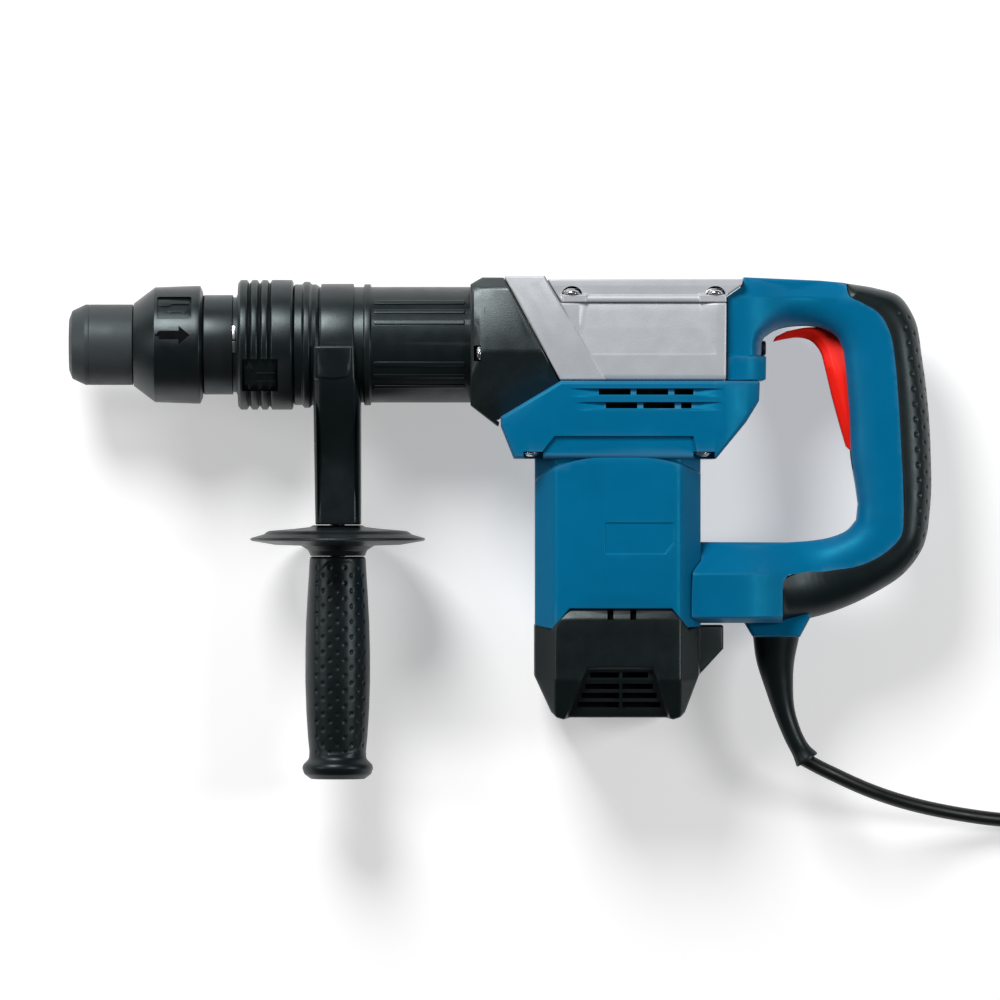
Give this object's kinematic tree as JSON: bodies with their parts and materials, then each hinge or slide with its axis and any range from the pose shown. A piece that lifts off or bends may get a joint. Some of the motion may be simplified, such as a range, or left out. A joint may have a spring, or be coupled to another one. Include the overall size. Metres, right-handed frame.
{
  "type": "electric demolition hammer",
  "caption": "Corded demolition hammer with a hexagonal tool holder, D-handle with trigger, swivelling side handle and upright motor.",
  "frame": {"origin": "centre of the tool's box on the floor, with the tool lying on its left side", "axes": "+X from the nose to the D-handle along the barrel axis, +Y towards the top of the tool in use, +Z out of its right side, up as it lies"},
  "size_m": [0.6491, 0.3029, 0.096],
  "materials": {
    "blue_housing": "fine moulded texture, satin",
    "black_plastic": "fine moulded texture, satin",
    "soft_grip": "matt soft-touch rubber with dimples",
    "black_rubber": "matt rubber",
    "cord_rubber": "matt rubber sheath",
    "cast_aluminium": "sandblasted die casting, silver paint",
    "blackened_steel": "blackened",
    "ground_steel": "ground",
    "screw_steel": "bright zinc plating",
    "copper_winding": "lacquered copper",
    "brush_carbon": "pressed carbon",
    "red_plastic": "smooth moulded"
  },
  "bodies": {
    "casing": {"barrel_sleeve": "black_plastic", "cylinder_tube": "ground_steel", "front_cover": "black_plastic", "front_screw_1": "screw_steel", "front_screw_2": "screw_steel", "gear_housing": "cast_aluminium", "gear_lid": "cast_aluminium", "lid_screw_1": "screw_steel", "lid_screw_2": "screw_steel", "lid_screw_3": "screw_steel", "lid_screw_4": "screw_steel", "intermediate_flange": "blue_housing", "flange_screw_1": "screw_steel", "flange_screw_2": "screw_steel", "flange_screw_3": "screw_steel", "flange_screw_4": "screw_steel", "bearing_plate": "cast_aluminium", "crank_bearing_upper": "ground_steel", "crank_bearing_lower": "ground_steel", "motor_bearing_upper": "ground_steel", "motor_bearing_lower": "ground_steel", "motor_housing": "blue_housing", "motor_end_cap": "black_plastic", "stator": "blackened_steel", "brush_plate": "black_plastic", "carbon_brush_1": "brush_carbon", "carbon_brush_2": "brush_carbon", "handle_shell_right": "blue_housing", "handle_shell_left": "blue_housing", "grip_overmould": "soft_grip", "trigger_pin": "ground_steel", "switch_body": "black_plastic", "handle_bolt": "blackened_steel", "strain_relief": "black_rubber", "cord": "cord_rubber", "cord_coil": "cord_rubber", "plug": "cord_rubber"},
    "tool_holder": {"tool_holder": "blackened_steel", "dust_cap": "black_rubber", "lock_roller": "ground_steel", "lock_spring": "ground_steel"},
    "lock_sleeve": {"lock_sleeve": "black_plastic"},
    "adjusting_ring": {"adjusting_ring": "black_plastic"},
    "impact_bolt": {"impact_bolt": "ground_steel"},
    "striker": {"striker": "ground_steel"},
    "piston": {"piston": "cast_aluminium", "wrist_pin": "ground_steel", "connecting_rod": "cast_aluminium", "crank_pin": "ground_steel"},
    "armature": {"armature_shaft": "ground_steel", "armature_winding": "copper_winding", "cooling_fan": "black_plastic"},
    "crank": {"crankshaft": "blackened_steel", "crank_gear": "ground_steel"},
    "side_handle": {"side_handle_band": "ground_steel", "side_handle_bracket": "black_plastic", "side_handle_bolt": "ground_steel", "guard_disc": "black_plastic"},
    "side_grip": {"side_grip": "soft_grip"},
    "trigger": {"trigger": "red_plastic"}
  },
  "joints": [
    {"name": "tool_holder_turn", "type": "hinge", "parent": "casing", "child": "tool_holder", "pos_m": [-0.1755, 0.10015, 0.048], "axis": [1, 0, 0], "continuous": true},
    {"name": "lock_sleeve_pull", "type": "slide", "parent": "tool_holder", "child": "lock_sleeve", "axis": [1, 0, 0], "range_m": [0, 0.012], "stiffness_N_per_m": 600, "springref_m": -0.012, "deforming": ["lock_spring"]},
    {"name": "adjusting_ring_push", "type": "slide", "parent": "tool_holder", "child": "adjusting_ring", "axis": [-1, 0, 0], "range_m": [0, 0.006], "stiffness_N_per_m": 600, "springref_m": -0.01},
    {"name": "impact_bolt_slide", "type": "slide", "parent": "casing", "child": "impact_bolt", "axis": [-1, 0, 0], "range_m": [0, 0.005]},
    {"name": "striker_slide", "type": "slide", "parent": "casing", "child": "striker", "axis": [-1, 0, 0], "range_m": [0, 0.035]},
    {"name": "piston_slide", "type": "slide", "parent": "casing", "child": "piston", "axis": [1, 0, 0], "range_m": [0, 0.024]},
    {"name": "armature_spin", "type": "hinge", "parent": "casing", "child": "armature", "pos_m": [0.0639, 0.00015, 0.048], "axis": [0, 1, 0], "continuous": true},
    {"name": "crank_spin", "type": "hinge", "parent": "casing", "child": "crank", "pos_m": [0.0964, 0.07015, 0.048], "axis": [0, 1, 0], "continuous": true},
    {"name": "side_handle_swivel", "type": "hinge", "parent": "casing", "child": "side_handle", "pos_m": [-0.0889, 0.10015, 0.048], "axis": [1, 0, 0], "continuous": true},
    {"name": "side_grip_unscrew", "type": "hinge", "parent": "side_handle", "child": "side_grip", "pos_m": [-0.0889, -0.06985, 0.048], "axis": [0, -1, 0], "range_deg": [0, 360]},
    {"name": "trigger_press", "type": "hinge", "parent": "casing", "child": "trigger", "pos_m": [0.1955, 0.03915, 0.048], "axis": [0, 0, -1], "range_deg": [0, 6], "stiffness_Nm_per_rad": 4, "springref_deg": -4.58}
  ],
  "couplings": [
    {"joint": "crank_spin", "follows": "armature_spin", "ratio": -0.18182}
  ]
}
